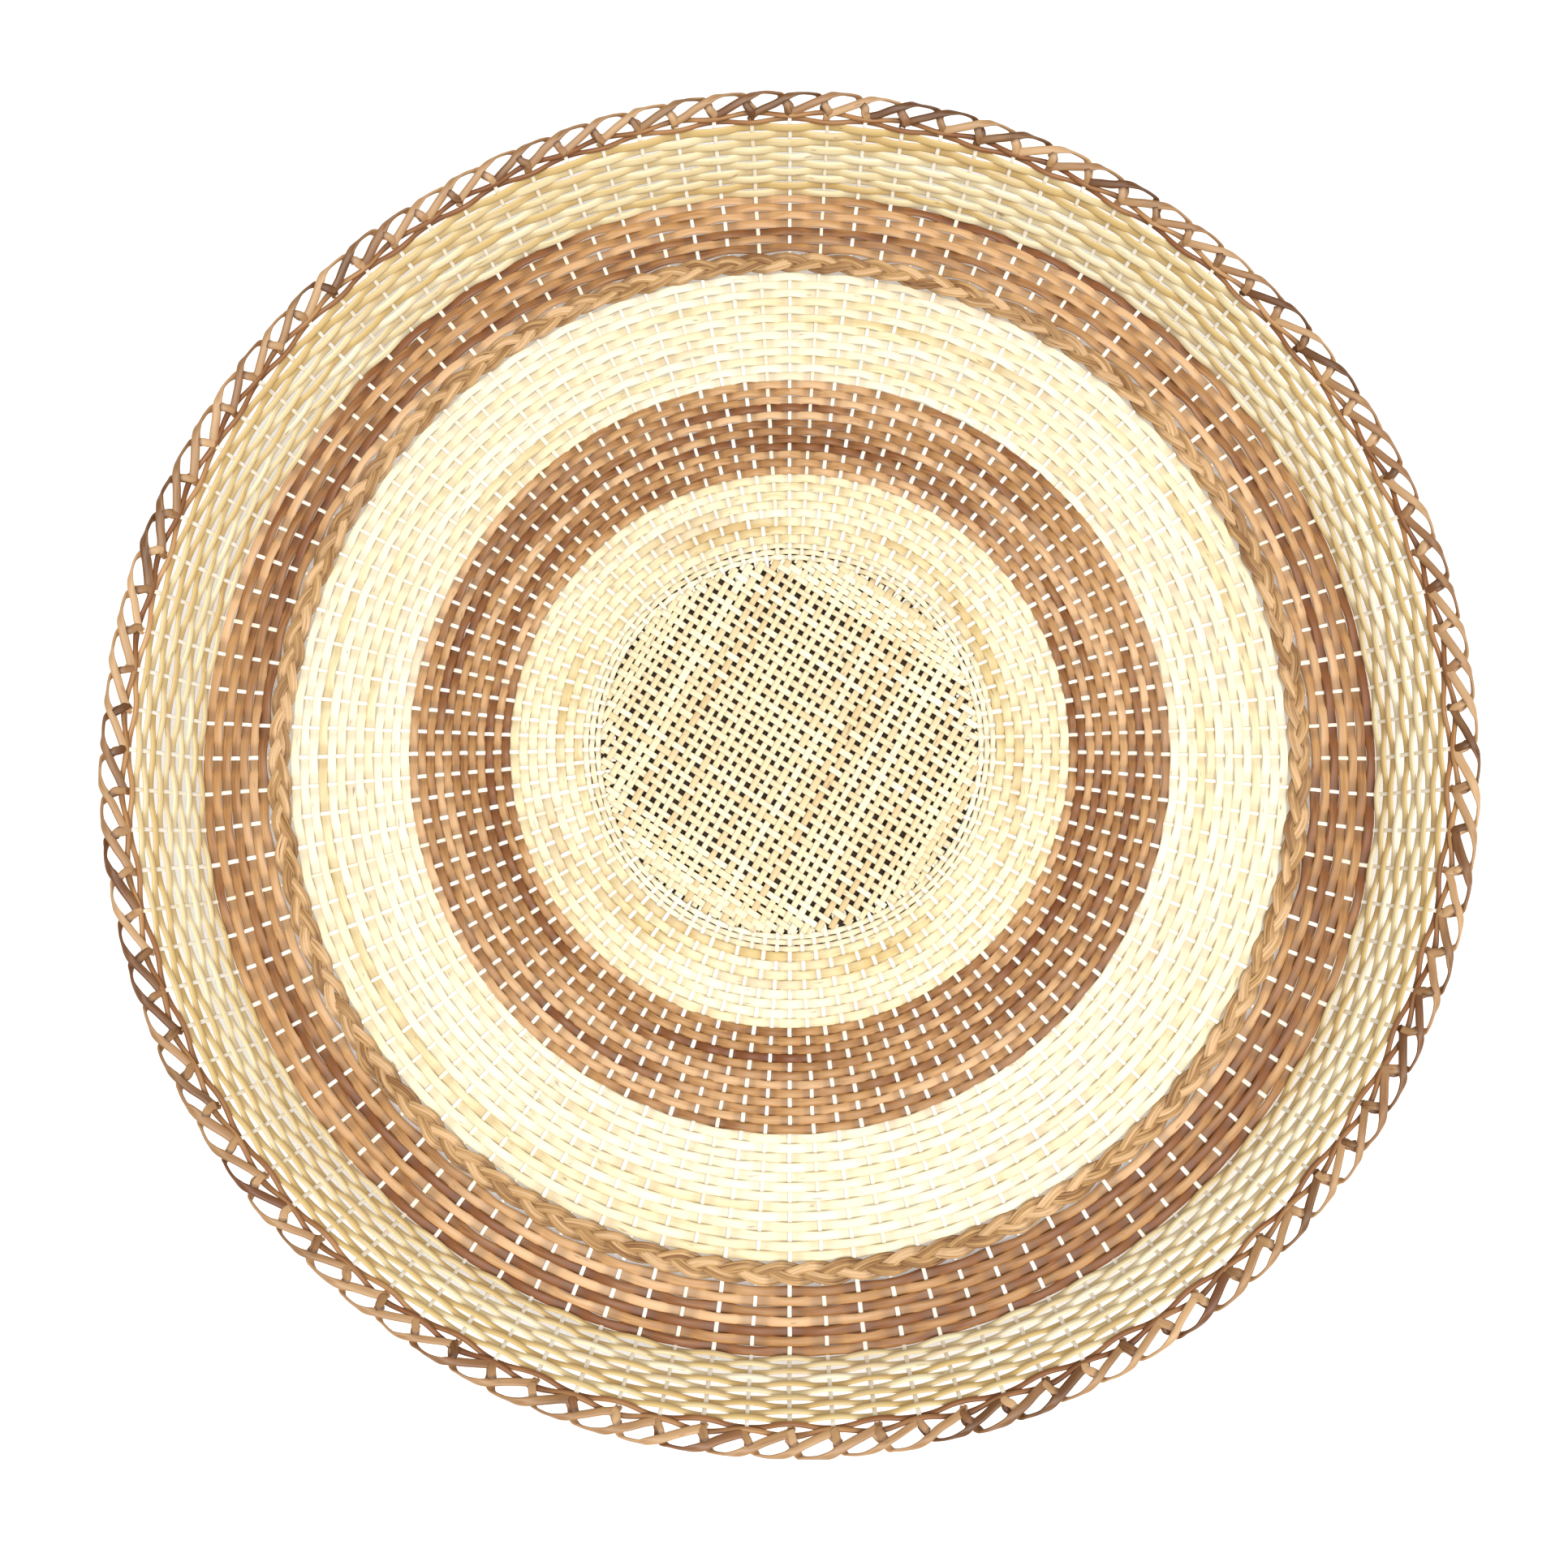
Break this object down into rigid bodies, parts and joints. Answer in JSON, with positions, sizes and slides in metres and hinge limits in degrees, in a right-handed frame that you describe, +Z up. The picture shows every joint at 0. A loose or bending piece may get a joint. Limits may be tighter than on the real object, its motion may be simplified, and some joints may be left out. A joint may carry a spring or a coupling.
{
  "type": "winnowing basket",
  "caption": "Round, shallow woven tray with a plaited open centre, bands of natural and brown weave, a steep low wall and an open braided border.",
  "frame": {"origin": "centre of the base, on the plane that the tray stands on", "axes": "+Z up, square to the plane that the tray stands on; +Y runs through one of the stakes"},
  "size_m": [0.5002, 0.5, 0.0461],
  "materials": {
    "natural_rattan": "satin",
    "brown_rattan": "satin",
    "white_cane": "satin",
    "tan_cane": "satin",
    "dark_splint": "matte",
    "plaited_cord": "matte",
    "border_cane": "satin"
  },
  "bodies": {
    "root": {"inner_natural_weaver_1": "natural_rattan", "inner_natural_weaver_2": "natural_rattan", "inner_natural_weaver_3": "natural_rattan", "inner_natural_weaver_4": "natural_rattan", "inner_natural_weaver_5": "natural_rattan", "inner_natural_weaver_6": "natural_rattan", "inner_natural_weaver_7": "natural_rattan", "inner_natural_weaver_8": "natural_rattan", "inner_brown_weaver_1": "brown_rattan", "inner_brown_weaver_2": "brown_rattan", "inner_brown_weaver_3": "brown_rattan", "inner_brown_weaver_4": "brown_rattan", "inner_brown_weaver_5": "brown_rattan", "inner_brown_weaver_6": "brown_rattan", "inner_brown_weaver_7": "brown_rattan", "inner_brown_weaver_8": "brown_rattan", "inner_brown_weaver_9": "brown_rattan", "inner_brown_weaver_10": "brown_rattan", "inner_brown_weaver_11": "brown_rattan", "inner_brown_weaver_12": "brown_rattan", "middle_natural_weaver_1": "natural_rattan", "middle_natural_weaver_2": "natural_rattan", "middle_natural_weaver_3": "natural_rattan", "middle_natural_weaver_4": "natural_rattan", "middle_natural_weaver_5": "natural_rattan", "middle_natural_weaver_6": "natural_rattan", "middle_natural_weaver_7": "natural_rattan", "middle_natural_weaver_8": "natural_rattan", "middle_natural_weaver_9": "natural_rattan", "middle_natural_weaver_10": "natural_rattan", "middle_natural_weaver_11": "natural_rattan", "middle_natural_weaver_12": "natural_rattan", "middle_natural_weaver_13": "natural_rattan", "outer_brown_weaver_1": "brown_rattan", "outer_brown_weaver_2": "brown_rattan", "outer_brown_weaver_3": "brown_rattan", "outer_brown_weaver_4": "brown_rattan", "outer_brown_weaver_5": "brown_rattan", "outer_brown_weaver_6": "brown_rattan", "outer_brown_weaver_7": "brown_rattan", "wall_natural_weaver_1": "natural_rattan", "wall_natural_weaver_2": "natural_rattan", "wall_natural_weaver_3": "natural_rattan", "wall_natural_weaver_4": "natural_rattan", "wall_natural_weaver_5": "natural_rattan", "wall_natural_weaver_6": "natural_rattan", "wall_natural_weaver_7": "natural_rattan", "wall_natural_weaver_8": "natural_rattan", "wall_natural_weaver_9": "natural_rattan", "wall_natural_weaver_10": "natural_rattan", "top_brown_weaver_1": "brown_rattan", "top_brown_weaver_2": "brown_rattan", "plait_strands": "plaited_cord", "fine_rows": "white_cane", "stakes": "white_cane", "mat_strips_falling": "white_cane", "mat_strips_rising": "tan_cane", "mat_backing": "dark_splint", "border_strands": "border_cane"}
  },
  "joints": []
}
